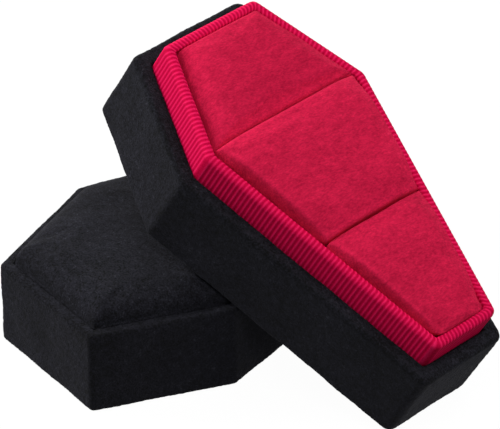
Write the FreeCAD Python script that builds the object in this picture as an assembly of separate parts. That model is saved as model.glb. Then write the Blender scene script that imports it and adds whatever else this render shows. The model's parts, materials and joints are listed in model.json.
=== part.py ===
"""Coffin-shaped velvet ring box in two loose halves, millimetres, +Z up, floor at z = 0.

Each half is drawn in its own frame: X across, Y from the head end to the foot end, Z up from
its lowest face. The lid stands on the floor with its open side down. The base lies across one
long top edge of the lid and has one foot corner on the floor.
"""
import FreeCAD, Part
import math
import os

Vector = FreeCAD.Vector

# Outline of both halves, measured over the velvet
length = 95.0
head_width = 33.0
shoulder_width = 57.0
foot_width = 25.0
shoulder_from_head = 30.2
corner_radius = 1.6
fold_break = 0.5

# Sheet materials
velvet = 0.8
wall_board = 2.1
floor_board = 2.0
ribbon = 0.5
collar_card = 1.4
insert_card = 1.2
lid_wall_board = 1.5
ledge_turn_in = 0.5
lining = 1.1
ceiling_card = 0.7
ceiling_velvet = 0.6
lid_board = 1.6

# Base and its collar
base_height = 20.5
collar_rise = 7.3
hem_width = 6.0
ribbon_turn_in = 10.0

# Ring pads: slot middles from the head end, and the form of the tops
slot_from_head = (29.6, 59.6)
slot_gap = 2.2
pad_crown_over_collar = 3.2
pad_dome = 0.5
pad_roll = 2.6

# Lid and the plump panel set into its top
lid_height = 20.5
panel_recess = 1.2
panel_crown = 5.6
panel_dome = 1.1
panel_roll = 3.4
roll_steps = 5

# How the base lies on the lid
lean_deg = 28.25
spin_deg = -6.55
floor_corner_along_edge = 30.6
rest_gap = 0.3

# Levels and insets that follow from the sizes above
base_stack = velvet + wall_board + velvet
lid_stack = velvet + lid_wall_board + lining
ledge = velvet + lid_wall_board + ledge_turn_in
collar_stack = ribbon + collar_card + ribbon
pad_inset = base_stack + collar_stack
floor_top = velvet + floor_board
insert_top = floor_top + insert_card
collar_top = base_height + collar_rise
panel_seat = lid_height - panel_recess
ceiling_top = panel_seat - lid_board
ceiling_face = ceiling_top - ceiling_card - ceiling_velvet
through = length


def draw_in(corners, inset):
    """Corners of a convex outline, listed anticlockwise, with every side moved in by inset."""
    up = Vector(0, 0, 1)
    moved = []
    for i, corner in enumerate(corners):
        before = up.cross(corner - corners[i - 1]).normalize()
        after = up.cross(corners[(i + 1) % len(corners)] - corner).normalize()
        moved.append(corner + (before + after) * (inset / (1 + before.dot(after))))
    return moved


def coffin(inset):
    """Corners of the six-sided outline with every side moved in by inset, head end first."""
    head_y = -length / 2
    foot_y = length / 2
    shoulder_y = head_y + shoulder_from_head
    return draw_in([
        Vector(-head_width / 2, head_y, 0),
        Vector(head_width / 2, head_y, 0),
        Vector(shoulder_width / 2, shoulder_y, 0),
        Vector(foot_width / 2, foot_y, 0),
        Vector(-foot_width / 2, foot_y, 0),
        Vector(-shoulder_width / 2, shoulder_y, 0),
    ], inset)


def half_width(inset, y):
    """Half the width of the drawn-in outline at one station along its length."""
    head, shoulder, foot = coffin(inset)[1:4]
    low, high = (head, shoulder) if y < shoulder.y else (shoulder, foot)
    return low.x + (high.x - low.x) * (y - low.y) / (high.y - low.y)


def cross_cut(inset, start, end):
    """Four corners of the drawn-in outline between two cross planes."""
    near = half_width(inset, start)
    far = half_width(inset, end)
    return [Vector(-near, start, 0), Vector(near, start, 0), Vector(far, end, 0), Vector(-far, end, 0)]


def deepest_inset(corners):
    """Inset at which the first side of a convex outline shrinks to nothing."""
    before = draw_in(corners, 0.0)
    after = draw_in(corners, 1.0)
    limits = []
    for i in range(len(corners)):
        side = (before[i] - before[i - 1]).Length
        shrink = side - (after[i] - after[i - 1]).Length
        if shrink > 0:
            limits.append(side / shrink)
    return min(limits)


def upright_edges(solid):
    """Edges of a straight-sided solid that run along Z."""
    found = []
    for edge in solid.Edges:
        ends = edge.Vertexes
        if len(ends) == 2 and (ends[0].Point - ends[1].Point).cross(Vector(0, 0, 1)).Length < 1e-6:
            found.append(edge)
    return found


def edges_at(solid, level):
    """Edges that lie in the level plane z = level."""
    return [e for e in solid.Edges if abs(e.BoundBox.ZMin - level) < 1e-4 and e.BoundBox.ZLength < 1e-3]


def block(inset, low, high):
    """Coffin-shaped block between two levels; its corner rounding shrinks with the inset."""
    points = [corner + Vector(0, 0, low) for corner in coffin(inset)]
    face = Part.Face(Part.makePolygon(points + points[:1]))
    solid = face.extrude(Vector(0, 0, high - low))
    radius = corner_radius - inset
    if radius > 0.1:
        solid = solid.makeFillet(radius, upright_edges(solid))
    return solid


def ring(outer, inner, low, high):
    """Coffin-shaped wall between two insets and two levels."""
    return block(outer, low, high).cut(block(inner, low - through, high + through))


def soften(solid, radius, level):
    """Round every edge that lies at one level."""
    return solid.makeFillet(radius, edges_at(solid, level))


def fold(solid, size, level):
    """Break the edges at one level, as velvet does where it folds over the end of a board."""
    return solid.makeChamfer(size, edges_at(solid, level))


def cushion(corners, low, crown, dome, roll):
    """Crowned cushion: upright sides, edges rolled over in a quarter circle, then a dome up to the crown."""
    edge_top = crown - dome
    levels = [(0.0, low), (0.0, edge_top - roll)]
    for step in range(1, roll_steps + 1):
        turn = math.pi / 2 * step / roll_steps
        levels.append((roll * (1 - math.cos(turn)), edge_top - roll + roll * math.sin(turn)))
    reach = deepest_inset(corners) * 0.6 - roll
    for part in (0.4, 1.0):
        levels.append((roll + reach * part, edge_top + dome * (1 - (1 - part) ** 2)))
    wires = []
    for inset, level in levels:
        points = [point + Vector(0, 0, level) for point in draw_in(corners, inset)]
        wires.append(Part.makePolygon(points + points[:1]))
    return Part.makeLoft(wires, True, True)


def covered_cushion(corners, low, crown, dome, roll):
    """Foam cushion, and the whole cushion with its velvet cover."""
    foam = cushion(draw_in(corners, velvet), low, crown - velvet, dome, roll - velvet)
    return foam, cushion(corners, low, crown, dome, roll)


def pressed(solid, placement, gap):
    """Cushion with its top pressed flat a little below the underside of the base that lies on it."""
    weight = Part.makeBox(2 * through, 2 * through, through)
    weight.translate(Vector(-through, -through, -gap))
    return solid.cut(weight.transformed(placement.toMatrix(), True))


def base_pieces():
    """Every piece of the base, underside at z = 0."""
    board_inner = velvet + wall_board
    wall = ring(velvet, board_inner, velvet, base_height - velvet)
    wrap = fold(fold(block(0, 0, base_height), fold_break, base_height), fold_break, 0)
    wrap = wrap.cut(wall)
    wrap = wrap.cut(block(board_inner, velvet, floor_top))
    wrap = wrap.cut(block(base_stack, floor_top, base_height + through))
    wrap = wrap.cut(block(hem_width, -through, velvet))

    card_outer = base_stack + ribbon
    card_inner = card_outer + collar_card
    card_top = collar_top - ribbon
    card = soften(ring(card_outer, card_inner, floor_top, card_top), collar_card * 0.4, card_top)
    band = soften(ring(base_stack, pad_inset, floor_top, collar_top), collar_stack * 0.44, collar_top)
    band = band.cut(card)
    band = band.cut(block(card_inner, floor_top, collar_top - ribbon_turn_in))

    pieces = {
        "base_wall_wrap": wrap,
        "base_wall_board": wall,
        "base_bottom_cover": block(hem_width, 0, velvet),
        "base_floor_board": block(board_inner, velvet, floor_top),
        "collar_board": card,
        "collar_ribbon": band,
        "insert_board": block(pad_inset, floor_top, insert_top),
    }
    head_y = -length / 2
    stations = [head_y]
    for middle in slot_from_head:
        stations += [head_y + middle - slot_gap / 2, head_y + middle + slot_gap / 2]
    stations.append(length / 2)
    stations[0] += pad_inset
    stations[-1] -= pad_inset
    crown = collar_top + pad_crown_over_collar
    for name, start, end in zip(("head", "middle", "foot"), stations[0::2], stations[1::2]):
        foam, whole = covered_cushion(cross_cut(pad_inset, start, end), insert_top, crown, pad_dome, pad_roll)
        pieces[name + "_pad_foam"] = foam
        pieces[name + "_pad_cover"] = whole.cut(foam)
    return pieces


def lid_pieces():
    """Every piece of the lid but its top panel, rim at z = 0."""
    board_inner = velvet + lid_wall_board
    wall = ring(velvet, board_inner, velvet, lid_height - velvet)
    wrap = fold(fold(block(0, 0, lid_height), fold_break, lid_height), fold_break, 0)
    wrap = wrap.cut(wall)
    wrap = wrap.cut(block(board_inner, velvet, panel_seat))
    wrap = wrap.cut(block(ledge, panel_seat, lid_height + through))
    wrap = wrap.cut(block(lid_stack, -through, velvet))
    return {
        "lid_wall_wrap": wrap,
        "lid_wall_board": wall,
        "lid_wall_lining": ring(board_inner, lid_stack, velvet, ceiling_top),
        "lid_top_board": block(board_inner, ceiling_top, panel_seat),
        "lid_ceiling_board": block(lid_stack, ceiling_top - ceiling_card, ceiling_top),
        "lid_ceiling_lining": block(lid_stack, ceiling_face, ceiling_top - ceiling_card),
    }


def lid_panel(placement):
    """Foam and cover of the lid's top panel, pressed on the side where the base lies."""
    foam, whole = covered_cushion(coffin(ledge), panel_seat, lid_height + panel_crown, panel_dome, panel_roll)
    foam = pressed(foam, placement, rest_gap + velvet)
    return {"lid_top_foam": foam, "lid_top_cover": pressed(whole, placement, rest_gap).cut(foam)}


def base_placement(base_shape, lid_shape):
    """Lay the base's underside on the lid's long top edge, with its lowest foot corner on the floor."""
    corners = coffin(0)
    along = (corners[3] - corners[2]).normalize()
    outward = Vector(along.y, -along.x, 0)
    up = Vector(0, 0, 1)
    lean = math.radians(lean_deg)
    spin = math.radians(spin_deg)
    normal = outward * math.sin(lean) + up * math.cos(lean)
    downhill = outward * math.cos(lean) - up * math.sin(lean)
    foot_way = downhill * math.cos(spin) + along * math.sin(spin)
    turn = FreeCAD.Rotation(foot_way.cross(normal), foot_way, normal, "ZXY")
    laid_lid = lid_shape.copy()
    laid_lid.Placement = FreeCAD.Placement(Vector(0, 0, 0), turn.inverted())
    lid_reach = laid_lid.optimalBoundingBox(False).ZMax
    turned = base_shape.copy()
    turned.Placement = FreeCAD.Placement(normal * (lid_reach + rest_gap), turn)
    lowest = turned.optimalBoundingBox(False).ZMin
    foot_corner = turn.multVec(corners[4]) + normal * (lid_reach + rest_gap) + downhill * (lowest / math.sin(lean))
    side_step = floor_corner_along_edge - (foot_corner - corners[2]).dot(along)
    move = normal * (lid_reach + rest_gap) + downhill * (lowest / math.sin(lean)) + along * side_step
    return FreeCAD.Placement(move, turn)


base = base_pieces()
lid = lid_pieces()
leaning = base_placement(base["base_wall_wrap"], lid["lid_wall_wrap"])
lid.update(lid_panel(leaning))

pieces = dict(lid)
for name, shape in base.items():
    shape.Placement = leaning
    pieces[name] = shape

extent = Part.makeCompound(list(pieces.values())).optimalBoundingBox(False)
to_middle = Vector(-extent.Center.x, -extent.Center.y, 0)
os.makedirs("parts", exist_ok=True)
for name, shape in pieces.items():
    shape.translate(to_middle)
    shape.exportStep("parts/" + name + ".step")
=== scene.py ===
"""Dressed model of a coffin-shaped velvet ring box: velvet wraps, ribbed ribbon collar and ring pads.

All sizes are in metres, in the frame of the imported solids. Each half of the box is worked out in its
own frame (X across, Y from head end to foot end, Z up from its lowest face) and then put in place.
"""

import json
import logging
import math
from dataclasses import dataclass, field
from enum import Enum
from typing import Any, Sequence

import bpy
import numpy as np
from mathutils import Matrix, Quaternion, Vector


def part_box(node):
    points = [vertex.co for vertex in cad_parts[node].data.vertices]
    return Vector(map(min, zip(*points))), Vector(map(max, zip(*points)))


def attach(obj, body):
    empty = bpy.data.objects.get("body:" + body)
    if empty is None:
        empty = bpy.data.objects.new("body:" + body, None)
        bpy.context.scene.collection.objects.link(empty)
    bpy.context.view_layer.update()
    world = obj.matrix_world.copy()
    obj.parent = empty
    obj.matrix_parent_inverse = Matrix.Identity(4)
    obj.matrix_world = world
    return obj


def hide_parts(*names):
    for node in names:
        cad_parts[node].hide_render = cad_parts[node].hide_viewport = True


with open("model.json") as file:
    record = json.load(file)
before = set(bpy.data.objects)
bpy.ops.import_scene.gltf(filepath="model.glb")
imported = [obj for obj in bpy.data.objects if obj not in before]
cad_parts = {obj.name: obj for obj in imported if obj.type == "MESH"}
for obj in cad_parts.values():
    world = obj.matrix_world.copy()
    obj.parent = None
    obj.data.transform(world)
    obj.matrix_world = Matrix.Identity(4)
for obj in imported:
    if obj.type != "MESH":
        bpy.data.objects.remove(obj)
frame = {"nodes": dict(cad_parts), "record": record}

log = logging.getLogger("ring_box")
MM = 0.001
Array = np.ndarray
Triple = tuple[float, float, float]
NO_FANS = np.zeros((0, 3), int)


class Half(Enum):
    """The two loose halves, named as their bodies."""
    LID = "lid"
    BASE = "base"


# Shape tools


@dataclass(frozen=True)
class Place:
    """Where a half stands: its axes as columns and its origin."""
    axes: Array
    origin: Array

    def put(self, points: Array) -> Array:
        """Carry points of the half's own frame into the frame of the solids."""
        return points @ self.axes.T + self.origin


@dataclass(frozen=True)
class Outline:
    """Convex outline with rounded corners, walked anticlockwise.

    A place on the walk is a segment number and a share of it: even segments are the corner arcs and odd
    ones the straight sides after them.
    """
    corners: Array

    def normals(self) -> Array:
        """Inward unit normals of the sides.

        Returns:
            One row per side.
        """
        along = np.roll(self.corners, -1, axis=0) - self.corners
        along = along / np.linalg.norm(along, axis=1, keepdims=True)
        return np.stack([-along[:, 1], along[:, 0]], axis=1)

    def inset(self, amount: float | Array) -> "Outline":
        """The outline with every side moved in.

        Args:
            amount: distance that the sides move in, one for all or a column of one per corner.

        Returns:
            The smaller outline.
        """
        after = self.normals()
        before = np.roll(after, 1, axis=0)
        step = (before + after) / (1 + np.sum(before * after, axis=1, keepdims=True))
        return Outline(self.corners + step * amount)

    def walk(self, seg: Array, share: Array, inset: float, radius: float | Array) -> tuple[Array, Array]:
        """Points and outward normals at places on the walk.

        A corner arc is a circle of the given radius about the corner of the outline drawn in by inset plus
        radius; a side joins the end of one arc to the start of the next.

        Args:
            seg: segment number of each place.
            share: share of the segment, 0 to 1.
            inset: distance of the walk inside the outline.
            radius: rounding of the corners, one for all or one each.

        Returns:
            Points and normals, one row per place.
        """
        after = -self.normals()
        before = np.roll(after, 1, axis=0)
        rounding = np.broadcast_to(radius, len(self.corners))
        centre = self.inset(inset + rounding[:, None]).corners
        start = np.arctan2(before[:, 1], before[:, 0])
        turn = (np.arctan2(after[:, 1], after[:, 0]) - start) % (2 * math.pi)
        corner = (seg // 2) % len(self.corners)
        follow = (corner + 1) % len(self.corners)
        on_arc = seg % 2 == 0
        angle = start[corner] + turn[corner] * np.where(on_arc, share, 1.0)
        normal = np.stack([np.cos(angle), np.sin(angle)], axis=1)
        arc = centre[corner] + rounding[corner, None] * normal
        side_end = centre[follow] + rounding[follow, None] * before[follow]
        blend = np.where(on_arc, 0.0, share)[:, None]
        return arc * (1 - blend) + side_end * blend, normal

    def places(self, inset: float, radius: float | Array, count: int) -> tuple[Array, Array, Array]:
        """Evenly spaced places on the walk.

        Args:
            inset: distance of the measured walk inside the outline.
            radius: rounding of its corners.
            count: number of places.

        Returns:
            Segment numbers, shares, and the distance walked at each place.
        """
        fine = 24
        segs = np.repeat(np.arange(2 * len(self.corners)), fine)
        shares = np.tile(np.arange(fine) / fine, 2 * len(self.corners))
        points, _ = self.walk(segs, shares, inset, radius)
        gaps = np.linalg.norm(np.roll(points, -1, axis=0) - points, axis=1)
        run = np.concatenate([[0.0], np.cumsum(gaps)])
        wanted = np.arange(count) * run[-1] / count
        place = np.interp(wanted, run, np.arange(len(run))) / fine
        seg = np.minimum(place.astype(int), 2 * len(self.corners) - 1)
        return seg, place - seg, wanted

    def depth(self, points: Array) -> Array:
        """Distance of points to each side, positive inside, one column per side."""
        normal = self.normals()
        return points @ normal.T - np.sum(normal * self.corners, axis=1)


def ripple(points: Array, wavelength: float, seed: int, waves: int = 28) -> Array:
    """Smooth random field of about unit size: a sum of plane waves with seeded directions and phases.

    Args:
        points: places, one row each.
        wavelength: typical distance between crests.
        seed: seed of the draw.
        waves: number of plane waves.

    Returns:
        One value per place.
    """
    draw = np.random.default_rng(seed)
    way = draw.normal(size=(waves, points.shape[1]))
    rate = (2 * math.pi / wavelength) * draw.uniform(0.6, 1.4, (waves, 1))
    way *= rate / np.linalg.norm(way, axis=1, keepdims=True)
    phase = draw.uniform(0, 2 * math.pi, waves)
    return np.sin(points @ way.T + phase).sum(axis=1) * math.sqrt(2 / waves)


def arc_rows(centre: tuple[float, float], radius: float, start: float, end: float, count: int) -> Array:
    """Rows of a profile on a circular arc: (inset, height) pairs, angles from the outward direction.

    Args:
        centre: inset and height of the arc's middle.
        radius: radius of the arc.
        start: first angle in degrees, 0 outward and 90 up.
        end: last angle in degrees.
        count: number of rows.

    Returns:
        The rows.
    """
    angle = np.radians(np.linspace(start, end, count))
    return np.stack([centre[0] - radius * np.cos(angle), centre[1] + radius * np.sin(angle)], axis=1)


def line_rows(start: tuple[float, float], end: tuple[float, float], step: float) -> Array:
    """Rows of a profile on a straight line, without its end row.

    Args:
        start: inset and height of the first row.
        end: inset and height of the line's end.
        step: distance between rows, about.

    Returns:
        The rows.
    """
    count = max(1, round(math.dist(start, end) / step))
    share = np.arange(count)[:, None] / count
    return np.array(start) * (1 - share) + np.array(end) * share


def grid_faces(rows: int, cols: int, close_rows: bool) -> Array:
    """Quads of a grid that closes round its columns.

    Args:
        rows: number of rows.
        cols: number of columns.
        close_rows: whether it closes round its rows too.

    Returns:
        Four vertex numbers per face.
    """
    last = rows if close_rows else rows - 1
    r, c = np.meshgrid(np.arange(last), np.arange(cols), indexing="ij")
    up = (r + 1) % rows
    right = (c + 1) % cols
    quads = [r * cols + c, r * cols + right, up * cols + right, up * cols + c]
    return np.stack(quads, axis=-1).reshape(-1, 4)


def fan_faces(ring: Array, pole: int) -> Array:
    """Triangles from a ring of vertices to one pole."""
    return np.stack([ring, np.roll(ring, -1), np.full(len(ring), pole)], axis=1)


def volume(points: Array, quads: Array, fans: Array) -> float:
    """Signed volume inside a closed mesh: the sum of the cones from the origin to its triangles.

    Args:
        points: vertex places.
        quads: four-sided faces.
        fans: three-sided faces.

    Returns:
        The volume, below 0 where the faces point inwards.
    """
    tris = np.concatenate([quads[:, [0, 1, 2]], quads[:, [0, 2, 3]], fans]).astype(int)
    a, b, c = points[tris[:, 0]], points[tris[:, 1]], points[tris[:, 2]]
    return float(np.sum(a * np.cross(b, c)) / 6)


def make_piece(name: str, points: Array, quads: Array, fans: Array = NO_FANS, uv: Array | None = None,
               fold_tone_and_painted_light: Array | None = None) -> bpy.types.Object:
    """Put a closed surface into a new object with smooth faces that point outwards.

    Args:
        name: object name.
        points: vertex places.
        quads: four-sided faces.
        fans: three-sided faces, may be empty.
        uv: flat coordinates per vertex, for cloth whose pattern follows the surface.
        fold_tone_and_painted_light: tone shift per vertex; spread pile on wrap folds, painted highlight and shade on
            cushions.

    Returns:
        The new object.
    """
    if volume(points, quads, fans) < 0:
        quads, fans = quads[:, ::-1], fans[:, ::-1]
    loops = np.concatenate([quads.ravel(), fans.ravel()]).astype(np.int32)
    sizes = np.concatenate([np.full(len(quads), 4), np.full(len(fans), 3)]).astype(np.int32)
    mesh = bpy.data.meshes.new(name)
    mesh.vertices.add(len(points))
    mesh.vertices.foreach_set("co", points.astype(np.float32).ravel())
    mesh.loops.add(len(loops))
    mesh.loops.foreach_set("vertex_index", loops)
    mesh.polygons.add(len(sizes))
    mesh.polygons.foreach_set("loop_start", np.concatenate([[0], np.cumsum(sizes)[:-1]]).astype(np.int32))
    mesh.polygons.foreach_set("use_smooth", np.ones(len(sizes), dtype=bool))
    if uv is not None:
        layer = mesh.uv_layers.new(name="thread")
        layer.data.foreach_set("uv", uv[loops].astype(np.float32).ravel())
    if fold_tone_and_painted_light is not None:
        mesh.attributes.new("fold_tone_and_painted_light", "FLOAT", "POINT").data.foreach_set("value", fold_tone_and_painted_light.astype(np.float32))
    mesh.update(calc_edges=True)
    mesh.validate()
    obj = bpy.data.objects.new(name, mesh)
    bpy.context.scene.collection.objects.link(obj)
    return obj


# Finishes


def linear(hex_colour: str) -> tuple[float, float, float, float]:
    """Linear colour of an sRGB hex value."""
    parts = [int(hex_colour[i:i + 2], 16) / 255 for i in (1, 3, 5)]
    return (*[p / 12.92 if p <= 0.04045 else ((p + 0.055) / 1.055) ** 2.4 for p in parts], 1.0)


def add_node(tree: bpy.types.NodeTree, kind: str, settings: dict[str, Any] | None = None,
             inputs: dict[Any, Any] | None = None, stops: Sequence[tuple[float, str]] = ()) -> bpy.types.Node:
    """Add a node with its settings, constant inputs and links.

    Args:
        tree: node tree that takes the node.
        kind: node type.
        settings: attributes of the node.
        inputs: socket name or number to a constant or to the socket that feeds it.
        stops: places and sRGB hex colours, where the node is a colour ramp.

    Returns:
        The node.
    """
    node = tree.nodes.new(kind)
    for key, value in (settings or {}).items():
        setattr(node, key, value)
    for key, value in (inputs or {}).items():
        if isinstance(value, bpy.types.NodeSocket):
            tree.links.new(value, node.inputs[key])
        else:
            node.inputs[key].default_value = value
    if stops:
        elements = node.color_ramp.elements
        while len(elements) < len(stops):
            elements.new(0.5)
        for element, (place, colour) in zip(elements, stops):
            element.position = place
            element.color = linear(colour)
    return node


def new_material(name: str) -> tuple[bpy.types.Material, bpy.types.NodeTree]:
    """An empty node material.

    Args:
        name: material name.

    Returns:
        The material and its node tree.
    """
    material = bpy.data.materials.new(name)
    material.use_nodes = True
    material.node_tree.nodes.clear()
    return material, material.node_tree


@dataclass(frozen=True)
class Velvet:
    """Short-pile velvet, woven and cut: matt cloth whose upright fibres catch a little light at grazing angles.

    The pile shows as grain, drawn coarser than real fibres so that it shows, and the nap lies in soft patches and
    broad brush marks. A per-vertex tone shifts the colour: on a black wrap's folds the pile opens on its dark
    ground, and on the crimson pads it is painted highlight where a roll starts and painted shade in the crease at an
    edge.
    """
    name: str
    deep: str
    lit: str
    palest_and_highlight: str
    sheen: float
    sheen_tint: str
    deep_at: float
    fold_tone_and_painted_light_share: float
    grain: float = 0.4 * MM
    grain_share: float = 1.0
    patch: float = 1.4 * MM
    patch_share: float = 0.6
    brush: float = 16 * MM
    brush_share: float = 0.25
    comb: Triple = (1.0, 1.0, 1.0)
    bump: float = 0.45
    bump_depth: float = 0.25 * MM

    def build(self) -> bpy.types.Material:
        """Make the material: three layers of noise about a middle tone, shifted by the per-vertex fold tone and
        painted light.

        Returns:
            The material.
        """
        material, tree = new_material(self.name)
        where = add_node(tree, "ShaderNodeTexCoord").outputs["Object"]
        combed = add_node(tree, "ShaderNodeMapping", inputs={"Vector": where, "Scale": self.comb}).outputs["Vector"]
        layers = ((self.grain, self.grain_share, 2.0), (self.patch, self.patch_share, 3.0),
                  (self.brush, self.brush_share, 1.0))
        pile: Any = 0.5
        for size, share, detail in layers:
            noise = add_node(tree, "ShaderNodeTexNoise", inputs={
                "Vector": combed, "Scale": 1 / size, "Detail": detail, "Roughness": 0.65})
            centred = add_node(tree, "ShaderNodeMath", {"operation": "SUBTRACT"}, {0: noise.outputs["Fac"], 1: 0.5})
            pile = add_node(tree, "ShaderNodeMath", {"operation": "MULTIPLY_ADD"}, {
                0: centred.outputs[0], 1: share, 2: pile}).outputs[0]
        # Per-vertex tone: on black wrap folds the pile opens on its dark ground; on crimson pads it is painted
        # highlight and painted shade.
        fold_tone_and_painted_light = add_node(tree, "ShaderNodeAttribute", {"attribute_name": "fold_tone_and_painted_light"}).outputs["Fac"]
        tone = add_node(tree, "ShaderNodeMath", {"operation": "MULTIPLY_ADD"}, {
            0: fold_tone_and_painted_light, 1: self.fold_tone_and_painted_light_share, 2: pile})
        colour = add_node(tree, "ShaderNodeValToRGB", inputs={"Fac": tone.outputs[0]}, stops=[
            (self.deep_at, self.deep), (1 - self.deep_at, self.lit), (1.0, self.palest_and_highlight)])
        bump = add_node(tree, "ShaderNodeBump", inputs={
            "Height": pile, "Strength": self.bump, "Distance": self.bump_depth})
        shader = add_node(tree, "ShaderNodeBsdfPrincipled", inputs={
            "Base Color": colour.outputs["Color"], "Roughness": 0.95, "Specular IOR Level": 0.12,
            "Sheen Weight": self.sheen, "Sheen Roughness": 0.45, "Sheen Tint": linear(self.sheen_tint),
            "Normal": bump.outputs["Normal"]})
        add_node(tree, "ShaderNodeOutputMaterial", inputs={"Surface": shader.outputs[0]})
        return material


@dataclass(frozen=True)
class Ribbon:
    """Ribbed satin ribbon: fine silk threads wound over cords, with a painted highlight along each rib's crest
    and painted shade in each valley.

    The threads are drawn coarser than real silk so that they show.
    """
    rib_pitch: float
    name: str = "crimson_ribbed_ribbon"
    deep: str = "#AE0032"
    mid: str = "#DC0A48"
    lit: str = "#FF2A6E"
    painted_crest_highlight_share: float = 0.48
    painted_crest_highlight_power: float = 1.3
    thread: float = 0.16 * MM
    thread_share: float = 0.4
    thread_shift: float = -0.02
    thread_stretch: float = 0.25

    def build(self) -> bpy.types.Material:
        """Make the material; the threads lie along the band, so they follow its UV map in metres.

        Returns:
            The material.
        """
        material, tree = new_material(self.name)
        uv = add_node(tree, "ShaderNodeUVMap", {"uv_map": "thread"}).outputs["UV"]
        along = add_node(tree, "ShaderNodeSeparateXYZ", inputs={"Vector": uv}).outputs["X"]
        # Painted highlight on each rib's crest and painted shade in its valleys, following the rib's place round the
        # collar.
        turns = add_node(tree, "ShaderNodeMath", {"operation": "MULTIPLY"}, {
            0: along, 1: 2 * math.pi / self.rib_pitch})
        swing = add_node(tree, "ShaderNodeMath", {"operation": "COSINE"}, {0: turns.outputs[0]})
        crest = add_node(tree, "ShaderNodeMath", {"operation": "MULTIPLY_ADD"}, {
            0: swing.outputs[0], 1: -0.5, 2: 0.5})
        painted_crest_highlight = add_node(tree, "ShaderNodeMath", {"operation": "POWER"}, {0: crest.outputs[0], 1: self.painted_crest_highlight_power})
        stretched = add_node(tree, "ShaderNodeMapping", inputs={
            "Vector": uv, "Scale": (1.0, self.thread_stretch, 1.0)})
        threads = add_node(tree, "ShaderNodeTexNoise", {"noise_dimensions": "2D"}, {
            "Vector": stretched.outputs["Vector"], "Scale": 1 / self.thread, "Detail": 2.0}).outputs["Fac"]
        shifted = add_node(tree, "ShaderNodeMath", {"operation": "MULTIPLY_ADD"}, {
            0: threads, 1: self.thread_share, 2: self.thread_shift})
        mixed = add_node(tree, "ShaderNodeMath", {"operation": "MULTIPLY_ADD"}, {
            0: painted_crest_highlight.outputs[0], 1: self.painted_crest_highlight_share, 2: shifted.outputs[0]})
        colour = add_node(tree, "ShaderNodeValToRGB", inputs={"Fac": mixed.outputs[0]}, stops=[
            (0.05, self.deep), (0.4, self.mid), (0.9, self.lit)])
        bump = add_node(tree, "ShaderNodeBump", inputs={"Height": threads, "Strength": 0.2, "Distance": 0.08 * MM})
        shader = add_node(tree, "ShaderNodeBsdfPrincipled", inputs={
            "Base Color": colour.outputs["Color"], "Roughness": 0.7, "Specular IOR Level": 0.03,
            "Normal": bump.outputs["Normal"]})
        add_node(tree, "ShaderNodeOutputMaterial", inputs={"Surface": shader.outputs[0]})
        return material


@dataclass(frozen=True)
class Speckled:
    """Plain matt stock seen only from inside or below.

    The fibres of greyboard or the threads of a lining show as faint specks.
    """
    name: str
    deep: str
    lit: str
    speck: float
    roughness: float = 0.9

    def build(self) -> bpy.types.Material:
        """Make the material: one noise between two tones.

        Returns:
            The material.
        """
        material, tree = new_material(self.name)
        where = add_node(tree, "ShaderNodeTexCoord").outputs["Object"]
        specks = add_node(tree, "ShaderNodeTexNoise", inputs={
            "Vector": where, "Scale": 1 / self.speck, "Detail": 4.0}).outputs["Fac"]
        colour = add_node(tree, "ShaderNodeValToRGB", inputs={"Fac": specks}, stops=[
            (0.35, self.deep), (0.65, self.lit)])
        bump = add_node(tree, "ShaderNodeBump", inputs={"Height": specks, "Strength": 0.25, "Distance": 0.1 * MM})
        shader = add_node(tree, "ShaderNodeBsdfPrincipled", inputs={
            "Base Color": colour.outputs["Color"], "Roughness": self.roughness, "Specular IOR Level": 0.2,
            "Normal": bump.outputs["Normal"]})
        add_node(tree, "ShaderNodeOutputMaterial", inputs={"Surface": shader.outputs[0]})
        return material


class Finishes:
    """All materials of the box, made once."""

    def __init__(self, plan: "CoffinPlan") -> None:
        """Make every material.

        Args:
            plan: plan of the box, for the distance of the ribbon's ribs.
        """
        # Dense black pile: nearly no shine, a faint mottled grain, and edges that look darker, not paler.
        self.black_velvet = Velvet("black_velvet", "#030304", "#222229", "#4A4A52", sheen=0.03,
                                   sheen_tint="#8E8E9C", deep_at=0.32, fold_tone_and_painted_light_share=-0.07, bump=0.8).build()
        # Silky crimson pile brushed along the box: soft streaks, painted highlight where a pad's roll starts,
        # painted shade in its edge crease.
        self.red_velvet = Velvet("crimson_velvet", "#A50A32", "#DF1E4C", "#F04470", sheen=0.1,
                                 sheen_tint="#F0426A", deep_at=0.31, fold_tone_and_painted_light_share=0.24, grain_share=0.65,
                                 patch=1.8 * MM, patch_share=0.45, comb=(1.3, 0.5, 1.0)).build()
        self.ribbon = Ribbon(plan.rib_pitch()).build()
        self.greyboard = Speckled("greyboard", "#8C857A", "#A39B8E", 0.8 * MM).build()
        self.lining = Speckled("black_lining_cloth", "#131316", "#202024", 0.35 * MM, 0.8).build()


# The box


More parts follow.
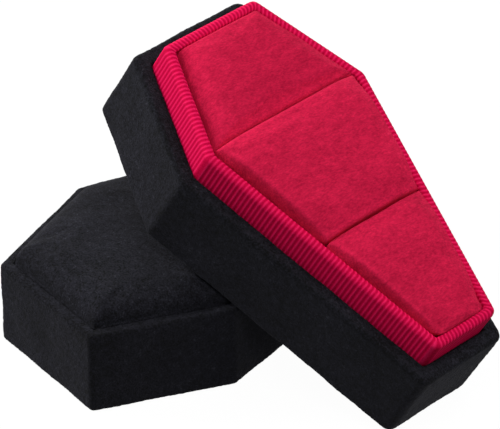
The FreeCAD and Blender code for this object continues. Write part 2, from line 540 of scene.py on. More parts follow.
@dataclass(frozen=True)
class CoffinPlan:
    """Plan of both halves and the thickness of the stuff they are made of."""
    length: float = 95.0 * MM
    head_width: float = 33.0 * MM
    shoulder_width: float = 57.0 * MM
    foot_width: float = 25.0 * MM
    shoulder_from_head: float = 30.2 * MM
    velvet: float = 0.8 * MM
    wall_board: float = 2.1 * MM
    collar_middle: float = 4.9 * MM
    collar_rounding: float = 1.0 * MM
    ribs_about: float = 1.04 * MM

    def outline(self) -> Outline:
        """The six-sided outline of both halves.

        Returns:
            The outline, head end first, anticlockwise from above.
        """
        head, shoulder, foot = self.head_width / 2, self.shoulder_width / 2, self.foot_width / 2
        low, high = -self.length / 2, self.length / 2
        middle = low + self.shoulder_from_head
        return Outline(np.array([[-head, low], [head, low], [shoulder, middle],
                                 [foot, high], [-foot, high], [-shoulder, middle]]))

    def collar_length(self) -> float:
        """Length of the collar's middle line.

        Returns:
            The length in metres.
        """
        steps = 64
        _, _, run = self.outline().places(self.collar_middle, self.collar_rounding, steps)
        return float(run[1] * steps)

    def rib_pitch(self) -> float:
        """Rib distance that fits a whole number of ribs round the collar."""
        return self.collar_length() / round(self.collar_length() / self.ribs_about)

    def half_width(self, inset: float, y: float) -> float:
        """Half the width of the outline, drawn in by inset, at one station."""
        right = self.outline().inset(inset).corners[1:4]
        return float(np.interp(y, right[:, 1], right[:, 0]))


def sweep(outline: Outline, profile: Array, corner: float | Array, count: int, measured: float = 0.0,
          smallest: float = 0.25 * MM) -> tuple[Array, Array, Array, Array]:
    """Carry a profile round a rounded outline.

    Each profile row gives an inset and a height; the outline is drawn in by that inset, and its corner rounding
    is the outer rounding less the inset, never under a small least value.

    Args:
        outline: the outer outline.
        profile: (inset, height) rows.
        corner: rounding of the outer corners, one for all or one each.
        count: columns round the outline.
        measured: inset at which the columns are evenly spaced.
        smallest: least corner rounding.

    Returns:
        Points (rows, columns, 3), outward plan normals (columns, 2), the distance walked by each column, and
        the segment number of each column.
    """
    seg, share, run = outline.places(measured, np.maximum(corner - measured, smallest), count)
    rows = []
    normal = np.zeros((count, 2))
    for inset, height in profile:
        points, normal = outline.walk(seg, share, inset, np.maximum(corner - inset, smallest))
        rows.append(np.column_stack([points, np.full(count, height)]))
    return np.array(rows), normal, run, seg


def profile_normals(profile: Array) -> Array:
    """Unit normals of a closed profile, pointing out of the stuff it goes round.

    Args:
        profile: (inset, height) rows.

    Returns:
        One (inset, height) normal per row, square to the line from the row before to the row after.
    """
    ahead = np.roll(profile, -1, axis=0) - np.roll(profile, 1, axis=0)
    ahead = ahead / np.maximum(np.linalg.norm(ahead, axis=1, keepdims=True), 1e-9)
    return np.stack([-ahead[:, 1], ahead[:, 0]], axis=1)


def swept_normals(way: Array, normal: Array) -> Array:
    """Normals of a swept surface: those of the profile, turned to face out of each column.

    Args:
        way: profile normals, one row per profile row.
        normal: outward plan normals, one row per column.

    Returns:
        Normals (rows, columns, 3).
    """
    rise = np.broadcast_to(way[:, None, 1:], (len(way), len(normal), 1))
    return np.concatenate([-way[:, None, :1] * normal[None], rise], axis=-1)


def fold_spread(way: Array, seg: Array, outer: int, at_corners: float = 0.35) -> Array:
    """Spread of the pile on a swept wrap: where the profile turns from upright to flat, and a little at corners.

    On a turn it is four times the product of the normal's two parts, which is highest half-way, less a fifth.

    Args:
        way: profile normals, one row per profile row.
        seg: segment number of each column.
        outer: number of profile rows on the outside.
        at_corners: spread along the upright corners.

    Returns:
        One value per vertex, 0 to 1.
    """
    fold = np.clip(4 * np.abs(way[:, 0] * way[:, 1]) - 0.2, 0, 1) * (way[:, 1] > 0)
    fold[outer:] = 0
    corner = np.where(seg % 2 == 0, at_corners, 0.0)
    return np.maximum(fold[:, None], corner[None, :] * (np.arange(len(way)) < outer)[:, None]).ravel()


@dataclass(frozen=True)
class Wrap:
    """Velvet folded round the walls of a half: hem, rounded foot edge, wall, rounded rim, ledge and turn-in.

    Insets count inwards from the outline of the box: face is that of the wall, board that of the wall board's inner
    side, ledge that of the turn-in, which goes down to the seat. Steps are the distances of the rows on the hem,
    the ledge and the turn-in.
    """
    name: str
    height: float
    velvet: float
    board: float
    ledge: float
    seat: float
    hem: float
    foot_round: float
    rim_round: float
    ledge_round: float
    corner: float | Array
    steps: Triple
    foot_rows: int
    seed: int
    face: float = 0.0
    flat_foot: bool = False
    wall_step: float = 0.7 * MM
    after_foot: float = 0.6 * MM
    after_rim: float = 0.4 * MM
    back_cut: float = 0.4 * MM
    columns: int = 560
    sag: float = 0.05 * MM
    sag_length: float = 11 * MM
    nap: float = 0.03 * MM
    nap_length: float = 1.0 * MM

    def outer_rows(self) -> Array:
        """Profile of the outside, from the hem's edge to the foot of the turn-in.

        Returns:
            (inset, height) rows.
        """
        hem_step, ledge_step, turn_step = self.steps
        face, foot, rim, inner = self.face, self.foot_round, self.rim_round, self.ledge_round
        top, ledge = self.height, self.ledge
        return np.concatenate([
            line_rows((self.hem, 0), (face + foot, 0), hem_step),
            arc_rows((face + foot, foot), foot, -90, 0, self.foot_rows),
            line_rows((face, foot + self.after_foot), (face, top - rim), self.wall_step),
            arc_rows((face + rim, top - rim), rim, 0, 90, 7),
            line_rows((face + rim + self.after_rim, top), (ledge - inner, top), ledge_step),
            arc_rows((ledge - inner, top - inner), inner, 90, 180, 5),
            line_rows((ledge, top - 2 * inner), (ledge, self.seat), turn_step),
        ])

    def back_rows(self) -> Array:
        """Profile of the side that lies on the wall board, with cut corners.

        Returns:
            (inset, height) rows.
        """
        low, high, cut = self.velvet, self.height - self.velvet, self.back_cut
        return np.array([[self.ledge, self.seat], [self.board, self.seat], [self.board, high], [low + cut, high],
                         [low, high - cut], [low, low + cut], [low + cut, low], [self.hem, low]])

    def build(self, outline: Outline, place: Place, material: bpy.types.Material) -> bpy.types.Object:
        """Carry the profile round the outline; the outside moves along its normals by two random fields.

        Args:
            outline: outline of the box.
            place: where the half stands.
            material: the velvet.

        Returns:
            The wrap.
        """
        outer = self.outer_rows()
        profile = np.concatenate([outer, self.back_rows()])
        grid, normal, _, seg = sweep(outline, profile, self.corner, self.columns)
        points = grid.reshape(-1, 3)
        way = profile_normals(profile)
        amount = (ripple(points, self.sag_length, self.seed) * self.sag
                  + ripple(points, self.nap_length, self.seed + 1) * self.nap).reshape(len(profile), -1)
        amount[len(outer):] = 0
        points = points + (swept_normals(way, normal) * amount[..., None]).reshape(-1, 3)
        if self.flat_foot:
            points[:, 2] = np.maximum(points[:, 2], 0.0)
        obj = make_piece(self.name, place.put(points), grid_faces(len(profile), len(normal), True),
                         fold_tone_and_painted_light=fold_spread(way, seg, len(outer)))
        obj.data.materials.append(material)
        return obj


@dataclass(frozen=True)
class Weight:
    """Flat thing that lies on a cushion: the plane of its underside, in the cushion's own frame."""
    normal: Array
    level: float

    def press(self, points: Array, heights: Array, soft: float) -> Array:
        """Heights that stay under the plane: the smooth minimum of the height and the plane above it.

        Args:
            points: plan points, one row each.
            heights: height at each point before pressing.
            soft: width of the smooth change.

        Returns:
            One height per point.
        """
        plane = (self.level - points @ self.normal[:2]) / self.normal[2]
        return (heights + plane - np.sqrt((heights - plane) ** 2 + soft ** 2)) / 2


@dataclass(frozen=True)
class Stuffing:
    """Cloth simulation that blows up a cushion's cover.

    The cover is simulated at a multiple of its size under a steady inner pressure, without gravity and with its
    lower half held.
    """
    enlarge: float = 10.0
    frames: int = 20
    quality: int = 5
    mass: float = 0.02
    pressure: float = 4.0

    def inflate(self, cushion: "Cushion", points: Array, quads: Array, fans: Array, held: Array) -> Array:
        """Blow up a cover. No point moves farther than the cushion's cap.

        Args:
            cushion: the cushion, for its name and cap.
            points: vertex places before stuffing.
            quads: four-sided faces.
            fans: three-sided faces.
            held: mask of the points that stay put.

        Returns:
            Vertex places after stuffing.
        """
        middle = points.mean(axis=0)
        obj = make_piece(cushion.name + "_cover_before_stuffing", (points - middle) * self.enlarge, quads, fans)
        obj.vertex_groups.new(name="held").add(np.flatnonzero(held).tolist(), 1.0, "REPLACE")
        cloth = obj.modifiers.new("stuffing", "CLOTH")
        cloth.settings.quality = self.quality
        cloth.settings.mass = self.mass
        cloth.settings.use_pressure = True
        cloth.settings.uniform_pressure_force = self.pressure
        cloth.settings.effector_weights.gravity = 0.0
        cloth.settings.vertex_group_mass = "held"
        cloth.collision_settings.use_collision = False
        cloth.point_cache.frame_start, cloth.point_cache.frame_end = 1, self.frames
        scene = bpy.context.scene
        for number in range(1, self.frames + 1):
            scene.frame_set(number)
        stuffed = obj.evaluated_get(bpy.context.evaluated_depsgraph_get())
        after = np.zeros(len(points) * 3, dtype=np.float32)
        stuffed.data.vertices.foreach_get("co", after)
        move = after.reshape(-1, 3) / self.enlarge + middle - points
        reach = np.linalg.norm(move, axis=1, keepdims=True)
        log.info("%s: stuffing moves the cover by up to %.2f mm", cushion.name, float(reach.max() / MM))
        mesh = obj.data
        bpy.data.objects.remove(obj)
        bpy.data.meshes.remove(mesh)
        scene.frame_set(1)
        return points + move * np.minimum(1.0, cushion.cap / np.maximum(reach, 1e-9))


@dataclass
class Cushion:
    """Covered pad: upright sides, edges that roll over, and a domed top.

    Fields with one value per side or corner start at the head end and go anticlockwise, as the outline does.
    """
    name: str
    outline: Outline
    low: float
    crown: float
    dome: float
    roll_width: Array
    roll_drop: Array
    corner: float | Array
    fill: float
    cap: float
    seed: int
    weight: Weight | None = None
    fall: float = 0.0
    corner_dip: float = 0.0
    corner_reach: float = 4.5 * MM
    bulge: Array = field(default_factory=lambda: np.zeros(1))
    bulge_from: float = 0.0
    bulge_rise: float = 0.7 * MM
    bulge_depth: float = 0.9 * MM
    dome_reach: float = 0.8
    roll_power: float = 2.4
    join_power: int = 3
    roll_for_full_crease_shade: float = 3 * MM
    press_soft: float = 0.7 * MM
    unevenness: float = 0.08 * MM
    uneven_length: float = 13 * MM
    under_shares: Triple = (0.15, 0.6, 1.0)
    side_rows: int = 15
    rings: int = 30
    ring_crowding: float = 1.7
    spacing: float = 0.8 * MM

    def top(self, points: Array) -> Array:
        """Height of the top at plan points.

        The dome falls from the crown with the square of the closeness to the edges, by a smooth least distance.
        Near each side the surface drops along a flattened quarter ellipse of that side's roll, and the drops of
        the sides join in a cube root sum. The whole top sinks towards the foot end with the square of the way
        there, and towards each corner with a bell of the distances to its two sides.

        Args:
            points: plan points, one row each.

        Returns:
            One height per point.
        """
        depth = np.maximum(self.outline.depth(points), 1e-7)
        near = np.sum(depth ** -4.0, axis=1) ** -0.25
        farthest = 0.5 * np.min(np.ptp(self.outline.corners, axis=0)) * self.dome_reach
        dome = self.dome * (1 - np.clip(near / farthest, 0, 1)) ** 2
        edge = np.clip(1 - depth / self.roll_width, 0, 1)
        drop = self.roll_drop * (1 - np.sqrt(1 - edge ** self.roll_power))
        start, stop = self.outline.corners[:, 1].min(), self.outline.corners[:, 1].max()
        sunk = self.fall * ((points[:, 1] - start) / (stop - start)) ** 2
        both = np.exp(-(depth ** 2 + np.roll(depth, -1, axis=1) ** 2) / self.corner_reach ** 2)
        dip = self.corner_dip * np.clip(both.sum(axis=1), 0, 1)
        rolled = np.sum(drop ** self.join_power, axis=1) ** (1 / self.join_power)
        height = self.crown - dome - sunk - dip - rolled
        return height if self.weight is None else self.weight.press(points, height, self.press_soft)

    def fold_tone_and_painted_light(self, points: Array, held: Array) -> Array:
        """Painted highlight above 0 where a roll starts, painted shade below 0 in the crease along a tucked edge.

        The painted highlight is a quarter of a bell of the distance from each side, highest where its roll starts;
        the painted shade grows from there to the edge with the power 1.5 of the way, and with the size of the roll.

        Args:
            points: all points of the cushion.
            held: mask of the points of the underside and lower sides.

        Returns:
            One value per point, -1 to 0.25; all 0 under a weight.
        """
        depth = self.outline.depth(points[:, :2])
        # Painted highlight: the colour turns paler where each side's roll starts.
        bell = np.exp(-((depth - self.roll_width) / (0.5 * self.roll_width + 0.4 * MM)) ** 2)
        bell *= np.clip(depth / (0.3 * MM), 0, 1)
        # Painted shade: the colour darkens in the crease towards the edge, more for a larger roll.
        size = np.minimum(self.roll_drop * self.roll_width / self.roll_for_full_crease_shade ** 2, 1)
        painted_crease_shade = np.clip(1 - depth / self.roll_width, 0, 1) ** 1.5 * size
        return np.where(held | (self.weight is not None), 0.0, 0.25 * bell.max(axis=1) - painted_crease_shade.max(axis=1))

    def surface(self) -> tuple[Array, Array, Array, Array]:
        """Points, quads, fans and held points of the closed cushion.

        Rows go from the middle of the flat underside out to its edge, up the sides, over the roll and in to the
        middle of the top; the rows of the top are the outline drawn towards its middle. Above the bulge's height
        the rows near a side move out by that side's bulge, less by a bell of the distance from the edge.

        Returns:
            Points, quads, fans, and a mask of the points that stay put.
        """
        size = np.ptp(self.outline.corners, axis=0)
        count = int(round(2 * size.sum() / self.spacing))
        seg, share, _ = self.outline.places(0.0, self.corner, count)
        edge, out = self.outline.walk(seg, share, 0.0, self.corner)
        middle = self.outline.corners.mean(axis=0)
        rim = self.top(edge)
        side = (seg // 2) % len(self.outline.corners)
        bulge = np.broadcast_to(self.bulge, len(self.outline.corners))
        swell = np.where(seg % 2 == 1, bulge[side], bulge[side - 1] * (1 - share) + bulge[side] * share)
        under = [np.column_stack([middle + (edge - middle) * part, np.full(count, self.low)])
                 for part in self.under_shares]
        sides = [np.column_stack([edge, self.low + (rim - self.low) * part])
                 for part in np.linspace(0, 1, self.side_rows + 1)[1:]]
        tops = []
        for part in np.linspace(0, 1, self.rings + 1)[1:-1]:
            plan = middle + (edge - middle) * (1 - part ** self.ring_crowding)
            tops.append(np.column_stack([plan, self.top(plan)]))
        rows = np.array(under + sides + tops)
        inside = np.linalg.norm(rows[..., :2] - edge, axis=-1)
        above = np.clip((rows[..., 2] - self.bulge_from) / self.bulge_rise, 0, 1)
        grown = swell * np.exp(-(inside / self.bulge_depth) ** 2) * above ** 2 * (3 - 2 * above)
        rows[..., :2] += grown[..., None] * out
        flat = rows.reshape(-1, 3)
        poles = np.array([[*middle, self.low], [*middle, float(self.top(middle[None])[0])]])
        points = np.concatenate([flat, poles])
        quads = grid_faces(len(rows), count, False)
        first = np.arange(count)
        fans = np.concatenate([fan_faces(first, len(flat))[:, ::-1],
                               fan_faces(first + (len(rows) - 1) * count, len(flat) + 1)])
        held = np.zeros(len(points), dtype=bool)
        held[:count * (len(under) + len(sides) // 2)] = True
        held[len(flat)] = True
        return points, quads, fans, held

    def build(self, place: Place, material: bpy.types.Material) -> bpy.types.Object:
        """Make the cushion's object in its place, stuffed, and uneven by a smooth random field.

        Args:
            place: where the half stands.
            material: the velvet.

        Returns:
            The cushion.
        """
        points, quads, fans, held = self.surface()
        points = Stuffing().inflate(self, points, quads, fans, held)
        lift = ripple(points[:, :2], self.uneven_length, self.seed) * self.unevenness
        points[:, 2] += np.where(held, 0.0, lift)
        if self.weight is not None:
            pressed = self.weight.press(points[:, :2], points[:, 2], 0.1 * MM)
            points[:, 2] = np.where(held, points[:, 2], pressed)
        obj = make_piece(self.name, place.put(points), quads, fans, fold_tone_and_painted_light=self.fold_tone_and_painted_light(points, held))
        obj.data.materials.append(material)
        return obj


@dataclass(frozen=True)
class PadShape:
    """Form of a ring pad in millimetres: crown over the collar, dome, and width and drop of each side's roll.

    The sides are the head side, the +X side, the foot side and the -X side. Corners is the rounding of each corner,
    dip how far the corners sink, fall how far the foot side sinks, and bulge how far each side swells out.
    """
    crown: float
    dome: float
    rolls: list[tuple[float, float]]
    corners: list[float]
    dip: float
    fall: float = 0.0
    bulge: tuple[float, ...] = (0.0, 0.0, 0.0, 0.0)


PAD_SHAPES = {
    "head": PadShape(1.3, 0.5, [(0.6, 0.6), (3.8, 2.8), (1.2, 1.2), (1.5, 1.0)], [1.5, 1.5, 0.15, 0.15], dip=0.3),
    "middle": PadShape(3.3, 0.6, [(1.0, 1.3), (0.9, 2.0), (1.1, 1.1), (1.8, 2.4)], [0.15] * 4, dip=1.6),
    "foot": PadShape(3.1, 0.6, [(0.6, 1.0), (0.9, 2.0), (1.2, 0.8), (1.8, 2.2)], [0.15, 0.15, 2.2, 2.4], dip=1.2,
                     fall=1.0, bulge=(0.0, 0.0, 0.6, 0.0)),
}


@dataclass
class BaseTray:
    """The tray half: velvet walls, ribbon collar and the three ring pads."""
    plan: CoffinPlan
    finishes: Finishes
    height: float = 20.5 * MM
    floor_board: float = 2.0 * MM
    hem: float = 6.0 * MM
    corner: float = 2.2 * MM
    rim_round: float = 1.1 * MM
    foot_round: float = 1.0 * MM
    ledge_round: float = 0.5 * MM
    collar_rise: float = 7.3 * MM
    collar: float = 2.4 * MM
    collar_corner: float = 2.0 * MM
    ribbon: float = 0.5 * MM
    ribbon_turn_in: float = 10.0 * MM
    fold_out: float = 1.3 * MM
    fold_in: float = 0.8 * MM
    rib_height: float = 0.06 * MM
    rib_columns: int = 7
    rib_power: int = 3
    rib_valley: float = 0.4
    rib_spread: float = 0.18
    rib_loss_on_fold: float = 0.45
    seam_corner: int = 3
    seam_depth: float = 1.1
    seam_width: float = 0.22 * MM
    insert_card: float = 1.2 * MM
    slot_from_head: tuple[float, float] = (29.6 * MM, 59.6 * MM)
    slot_gap: float = 0.1 * MM
    pad_room: float = 0.02 * MM
    pad_fill: float = 0.85
    pad_cap: float = 0.3 * MM
    pad_bulge_below: float = 0.7 * MM
    place: Place = field(init=False)

    def __post_init__(self) -> None:
        """Read the tray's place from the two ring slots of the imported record."""
        slots = {m["name"]: m for m in frame["record"]["mounts"]}
        head = np.array(slots["ring_slot_head"]["pos_m"])
        foot = np.array(slots["ring_slot_foot"]["pos_m"])
        up = np.array(slots["ring_slot_head"]["axis"])
        up = up / np.linalg.norm(up)
        along = (foot - head) / np.linalg.norm(foot - head)
        axes = np.stack([np.cross(along, up), along, up], axis=1)
        own = np.array([0.0, -self.plan.length / 2 + self.slot_from_head[0], self.collar_top])
        self.place = Place(axes, head - axes @ own)

    @property
    def stack(self) -> float:
        """Wall thickness from the outer velvet to the collar."""
        return self.plan.velvet + self.plan.wall_board + self.plan.velvet

    @property
    def floor_top(self) -> float:
        """Height of the floor board's upper face."""
        return self.plan.velvet + self.floor_board

    @property
    def collar_top(self) -> float:
        """Height of the collar's upper edge."""
        return self.height + self.collar_rise

    def wrap(self) -> bpy.types.Object:
        """Velvet over the walls: under hem, wall, rim, ledge, and down inside to the floor board.

        Returns:
            The wrap.
        """
        velvet = Wrap("base_velvet_wrap", self.height, self.plan.velvet,
                      board=self.plan.velvet + self.plan.wall_board, ledge=self.stack, seat=self.floor_top,
                      hem=self.hem, foot_round=self.foot_round, rim_round=self.rim_round,
                      ledge_round=self.ledge_round, corner=self.corner, steps=(1.2 * MM, 0.6 * MM, 3 * MM),
                      foot_rows=8, seed=11)
        obj = velvet.build(self.plan.outline(), self.place, self.finishes.black_velvet)
        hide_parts("base_wall_wrap")
        return obj

    def band_rows(self) -> tuple[Array, Array]:
        """Profile of the ribbon: two leaves and a fold over the card, rounder outside than inside.

        Returns:
            Rows of the face and rows of the back.
        """
        outer, inner = self.stack, self.stack + self.collar
        middle, half = self.stack + self.collar / 2, self.collar / 2
        top, low, thick = self.collar_top, self.floor_top, self.ribbon
        in_sight = self.height - 1 * MM
        turned = top - self.ribbon_turn_in
        face = np.concatenate([
            line_rows((outer, low), (outer, in_sight), 5 * MM),
            line_rows((outer, in_sight), (outer, top - self.fold_out), 0.7 * MM),
            arc_rows((outer + self.fold_out, top - self.fold_out), self.fold_out, 0, 90, 9),
            arc_rows((inner - self.fold_in, top - self.fold_in), self.fold_in, 90, 180, 7),
            line_rows((inner, top - half - 0.5 * MM), (inner, turned), 1.5 * MM),
            np.array([[inner, turned]]),
        ])
        back = np.array([[inner - thick, turned], [inner - thick, top - half], [middle, top - thick],
                         [outer + thick, top - half], [outer + thick, low]])
        return face, back

    def band(self) -> bpy.types.Object:
        """Ribbon folded over the collar, with ribs across it.

        Each point of the face moves along the profile's normal by a power of the sine of the distance walked round
        the collar, one crest per rib, some higher than others and all lower on the fold. A narrow bell-shaped
        groove marks the place at the foot corner where the two ends of the ribbon meet.

        Returns:
            The ribbon.
        """
        face, back = self.band_rows()
        profile = np.concatenate([face, back])
        pitch = self.plan.rib_pitch()
        ribs = int(round(self.plan.collar_length() / pitch))
        columns = ribs * self.rib_columns
        grid, normal, run, seg = sweep(self.plan.outline(), profile, self.stack + self.collar_corner, columns,
                                       measured=self.stack + self.collar / 2, smallest=0.6 * MM)
        way = profile_normals(profile)
        phase = np.arange(columns) / self.rib_columns
        wave = np.abs(np.sin(math.pi * phase)) ** self.rib_power - self.rib_valley
        uneven = np.random.default_rng(5).normal(size=ribs).repeat(self.rib_columns)
        wave = wave * (1 + self.rib_spread * uneven)
        seam_at = run[np.flatnonzero(seg == 2 * self.seam_corner)[-1]]
        seam = -self.seam_depth * np.exp(-((run - seam_at) / self.seam_width) ** 2)
        on_face = np.zeros(len(profile))
        on_face[:len(face)] = 1 - self.rib_loss_on_fold * np.clip(way[:len(face), 1], 0, 1)
        amount = (wave + seam)[None] * on_face[:, None] * self.rib_height
        points = (grid + swept_normals(way, normal) * amount[..., None]).reshape(-1, 3)
        steps = np.concatenate([[0], np.cumsum(np.linalg.norm(np.diff(profile, axis=0), axis=1))])
        uv = np.stack(np.broadcast_arrays(phase[None, :] * pitch, steps[:, None]), axis=-1).reshape(-1, 2)
        obj = make_piece("collar_ribbed_ribbon", self.place.put(points),
                         grid_faces(len(profile), columns, True), uv=uv)
        obj.data.materials.append(self.finishes.ribbon)
        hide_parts("collar_ribbon")
        return obj

    def pads(self) -> list[bpy.types.Object]:
        """The three ring pads, whose lips roll down into the two ring slots.

        Returns:
            The pads, head end first.
        """
        inset = self.stack + self.collar + self.pad_room
        head_y = -self.plan.length / 2
        cuts = [head_y + inset]
        for middle in self.slot_from_head:
            cuts += [head_y + middle - self.slot_gap / 2, head_y + middle + self.slot_gap / 2]
        cuts.append(self.plan.length / 2 - inset)
        made = []
        for index, (name, shape) in enumerate(PAD_SHAPES.items()):
            start, stop = cuts[2 * index], cuts[2 * index + 1]
            near, far = self.plan.half_width(inset, start), self.plan.half_width(inset, stop)
            rolls = np.array(shape.rolls) * MM
            cushion = Cushion(
                name + "_ring_pad", Outline(np.array([[-near, start], [near, start], [far, stop], [-far, stop]])),
                low=self.floor_top + self.insert_card, crown=self.collar_top + shape.crown * MM,
                dome=shape.dome * MM, roll_width=rolls[:, 0], roll_drop=rolls[:, 1],
                corner=np.array(shape.corners) * MM, fill=self.pad_fill, cap=self.pad_cap, seed=21 + index,
                fall=shape.fall * MM, corner_dip=shape.dip * MM, bulge=np.array(shape.bulge) * MM,
                bulge_from=self.collar_top - self.pad_bulge_below)
            obj = cushion.build(self.place, self.finishes.red_velvet)
            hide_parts(name + "_pad_cover", name + "_pad_foam")
            made.append(obj)
        return made

    def underside(self, other: Place, gap: float) -> Weight:
        """Plane just below the tray's underside, as another half's own frame sees it.

        Args:
            other: place of the other half.
            gap: distance of the plane below the underside.

        Returns:
            The plane.
        """
        normal = other.axes.T @ self.place.axes[:, 2]
        point = other.axes.T @ (self.place.origin - other.origin)
        return Weight(normal, float(normal @ point) - gap)

    def build(self) -> list[bpy.types.Object]:
        """Make every new piece of the tray."""
        return [self.wrap(), self.band(), *self.pads()]


@dataclass
class Lid:
    """The lid half: velvet walls, ledge and a sunk, crowned top panel.

    The foot corner on the +X side is worn rounder than the others. The panel's rolls are widths and drops in
    millimetres, one pair per side, head side first.
    """
    plan: CoffinPlan
    finishes: Finishes
    height: float = 20.5 * MM
    wall_board: float = 1.5 * MM
    lining: float = 1.1 * MM
    rim_round: float = 0.9 * MM
    foot_round: float = 0.8 * MM
    ledge_round: float = 0.45 * MM
    ledge_turn_in: float = 0.5 * MM
    drawn_in: float = 0.15 * MM
    corners: tuple[float, ...] = (1.6 * MM, 1.6 * MM, 1.6 * MM, 3.2 * MM, 1.6 * MM, 1.6 * MM)
    panel_recess: float = 1.2 * MM
    panel_crown: float = 5.5 * MM
    panel_dome: float = 1.1 * MM
    panel_corner: float = 1.0 * MM
    panel_rolls: tuple[tuple[float, float], ...] = ((5.2, 3.4), (5.2, 3.4), (5.2, 3.4), (5.2, 3.4),
                                                    (6.4, 4.3), (4.6, 2.9))
    panel_fill: float = 0.7
    panel_cap: float = 0.35 * MM
    weight: Weight | None = None
    place: Place = field(init=False)

    def __post_init__(self) -> None:
        """The lid stands straight; its middle is that of its wall wrap."""
        low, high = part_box("lid_wall_wrap")
        self.place = Place(np.eye(3), np.array([(low[0] + high[0]) / 2, (low[1] + high[1]) / 2, low[2]]))

    @property
    def board(self) -> float:
        """Inset of the wall board's inner side."""
        return self.plan.velvet + self.wall_board

    @property
    def seat(self) -> float:
        """Height of the panel's seat inside the ledge."""
        return self.height - self.panel_recess

    def wrap(self) -> bpy.types.Object:
        """Velvet over the walls: under the rim, up the wall, over the ledge and down to the panel's seat.

        Returns:
            The wrap.
        """
        velvet = Wrap("lid_velvet_wrap", self.height, self.plan.velvet, board=self.board,
                      ledge=self.board + self.ledge_turn_in, seat=self.seat, hem=self.board + self.lining,
                      foot_round=self.foot_round, rim_round=self.rim_round, ledge_round=self.ledge_round,
                      corner=np.array(self.corners), steps=(0.8 * MM, 0.5 * MM, 0.6 * MM), foot_rows=7, seed=31,
                      face=self.drawn_in, flat_foot=True)
        obj = velvet.build(self.plan.outline(), self.place, self.finishes.black_velvet)
        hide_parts("lid_wall_wrap")
        return obj

    def panel(self) -> bpy.types.Object:
        """Plump top panel of the lid, set inside the ledge and pressed where the tray lies on it.

        Returns:
            The panel.
        """
        rolls = np.array(self.panel_rolls) * MM
        cushion = Cushion(
            "lid_top_panel", self.plan.outline().inset(self.board + self.ledge_turn_in), low=self.seat,
            crown=self.height + self.panel_crown, dome=self.panel_dome, roll_width=rolls[:, 0],
            roll_drop=rolls[:, 1], corner=self.panel_corner, fill=self.panel_fill, cap=self.panel_cap, seed=41,
            weight=self.weight)
        obj = cushion.build(self.place, self.finishes.black_velvet)
        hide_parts("lid_top_cover", "lid_top_foam")
        return obj

    def build(self) -> list[bpy.types.Object]:
        """Make every new piece of the lid."""
        return [self.wrap(), self.panel()]


def dress_solids(finishes: Finishes) -> None:
    """Give every solid that stays its finish.

    Args:
        finishes: the materials.
    """
    choice = {"_board": finishes.greyboard, "lid_wall_lining": finishes.lining,
              "base_bottom_cover": finishes.black_velvet, "lid_ceiling_lining": finishes.red_velvet}
    for name, solid in frame["nodes"].items():
        for ending, material in choice.items():
            if name.endswith(ending):
                solid.data.materials.clear()
                solid.data.materials.append(material)


# The studio


@dataclass(frozen=True)
class Lamp:
    """Soft square lamp that faces the object."""
    name: str
    at: Triple
    watts: float
    size: float = 0.5
    aim: Triple = (0.0, 0.0, 0.03)

    def build(self) -> None:
        """Hang the lamp."""
        data = bpy.data.lights.new(self.name, "AREA")
        data.size = self.size
        data.energy = self.watts
        obj = bpy.data.objects.new(self.name, data)
        obj.location = self.at
        obj.rotation_mode = "QUATERNION"
        obj.rotation_quaternion = (Vector(self.aim) - Vector(self.at)).to_track_quat("-Z", "Y")
        bpy.context.scene.collection.objects.link(obj)


LAMPS = (
    Lamp("left", (-0.830, -0.498, 0.526), 10.3),
    Lamp("left_high", (-0.713, -0.439, 0.713), 2.2),
    Lamp("back_left_low", (-0.819, 0.655, 0.328), 3.2),
    Lamp("top_right", (0.385, 0.385, 0.956), 4.6),
    Lamp("right_low", (0.830, 0.660, 0.200), 1.5),
    Lamp("front_top", (0.386, -0.276, 0.993), 4.1),
)


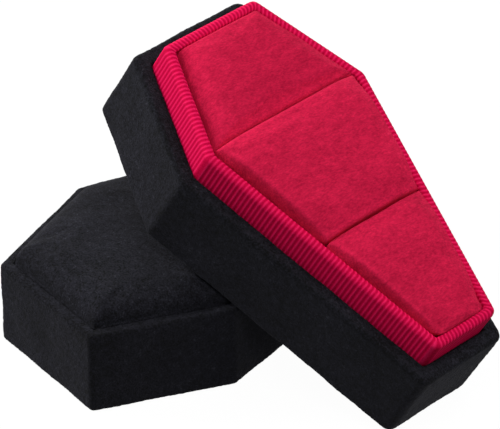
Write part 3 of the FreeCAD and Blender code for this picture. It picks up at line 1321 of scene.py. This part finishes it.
@dataclass(frozen=True)
class Studio:
    """Camera, lamps, pale floor and world."""
    image: tuple[int, int] = (500, 429)
    camera_at: Triple = (0.56398, -0.45143, 0.57731)
    camera_way: Triple = (-0.62821, 0.49410, -0.60102)
    camera_roll: float = -0.216
    focal_pixels: float = 4206.9
    sensor: float = 36.0
    floor_reach: float = 3.0
    floor_level: float = -1e-4
    floor_colour: str = "#707070"
    floor_glow: float = 1.3
    floor_glow_share: float = 0.75
    world_light: float = 0.03

    def camera(self) -> None:
        """Put the camera where the photograph was taken from."""
        data = bpy.data.cameras.new("camera")
        data.sensor_fit = "HORIZONTAL"
        data.sensor_width = self.sensor
        data.lens = self.focal_pixels * self.sensor / self.image[0]
        data.clip_start, data.clip_end = 0.02, 20.0
        obj = bpy.data.objects.new("camera", data)
        obj.location = self.camera_at
        obj.rotation_mode = "QUATERNION"
        roll = Quaternion((0, 0, 1), math.radians(self.camera_roll))
        obj.rotation_quaternion = Vector(self.camera_way).to_track_quat("-Z", "Y") @ roll
        bpy.context.scene.collection.objects.link(obj)
        bpy.context.scene.camera = obj

    def seen(self, tree: bpy.types.NodeTree) -> bpy.types.NodeSocket:
        """One for rays from the camera, also by way of gloss or glass, and zero for the light on the object.

        Args:
            tree: node tree that takes the nodes.

        Returns:
            The socket that gives the value.
        """
        path = add_node(tree, "ShaderNodeLightPath")
        most = path.outputs["Is Camera Ray"]
        for ray in ("Is Glossy Ray", "Is Transmission Ray"):
            most = add_node(tree, "ShaderNodeMath", {"operation": "MAXIMUM"}, {
                0: most, 1: path.outputs[ray]}).outputs[0]
        return most

    def floor(self) -> None:
        """Pale floor, bright to the camera, that keeps a soft shadow."""
        reach, level = self.floor_reach, self.floor_level
        mesh = bpy.data.meshes.new("floor")
        mesh.from_pydata([(-reach, -reach, level), (reach, -reach, level), (reach, reach, level),
                          (-reach, reach, level)], [], [(0, 1, 2, 3)])
        obj = bpy.data.objects.new("floor", mesh)
        bpy.context.scene.collection.objects.link(obj)
        material, tree = new_material("pale_floor")
        share = add_node(tree, "ShaderNodeMath", {"operation": "MULTIPLY"}, {
            0: self.seen(tree), 1: self.floor_glow_share})
        matt = add_node(tree, "ShaderNodeBsdfDiffuse", inputs={"Color": linear(self.floor_colour)})
        glow = add_node(tree, "ShaderNodeEmission", inputs={"Color": (1, 1, 1, 1), "Strength": self.floor_glow})
        mix = add_node(tree, "ShaderNodeMixShader", inputs={
            0: share.outputs[0], 1: matt.outputs[0], 2: glow.outputs[0]})
        add_node(tree, "ShaderNodeOutputMaterial", inputs={"Surface": mix.outputs[0]})
        mesh.materials.append(material)

    def world(self) -> None:
        """White to the camera, gentle light on the object."""
        world = bpy.data.worlds.new("studio")
        bpy.context.scene.world = world
        world.use_nodes = True
        tree = world.node_tree
        tree.nodes.clear()
        soft, white = [add_node(tree, "ShaderNodeBackground", inputs={"Color": (1, 1, 1, 1), "Strength": strength})
                       for strength in (self.world_light, 1.0)]
        mix = add_node(tree, "ShaderNodeMixShader", inputs={
            0: self.seen(tree), 1: soft.outputs[0], 2: white.outputs[0]})
        add_node(tree, "ShaderNodeOutputWorld", inputs={"Surface": mix.outputs[0]})

    def build(self) -> None:
        """Set up the whole studio."""
        self.camera()
        self.floor()
        self.world()
        for lamp in LAMPS:
            lamp.build()
        bpy.context.scene.view_settings.view_transform = "Standard"


def main() -> None:
    """Build the box, dress it, set up the studio and report the pieces."""
    logging.basicConfig(level=logging.INFO, format="%(message)s")
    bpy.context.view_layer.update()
    plan = CoffinPlan()
    finishes = Finishes(plan)
    tray, lid = BaseTray(plan, finishes), Lid(plan, finishes)
    lid.weight = tray.underside(lid.place, 0.25 * MM)
    made = {Half.BASE: tray.build(), Half.LID: lid.build()}
    for half, pieces in made.items():
        for piece in pieces:
            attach(piece, half.value)
            log.info("%s on %s: %d faces", piece.name, half.value, len(piece.data.polygons))
    dress_solids(finishes)
    Studio().build()


if __name__ == "__main__":
    main()
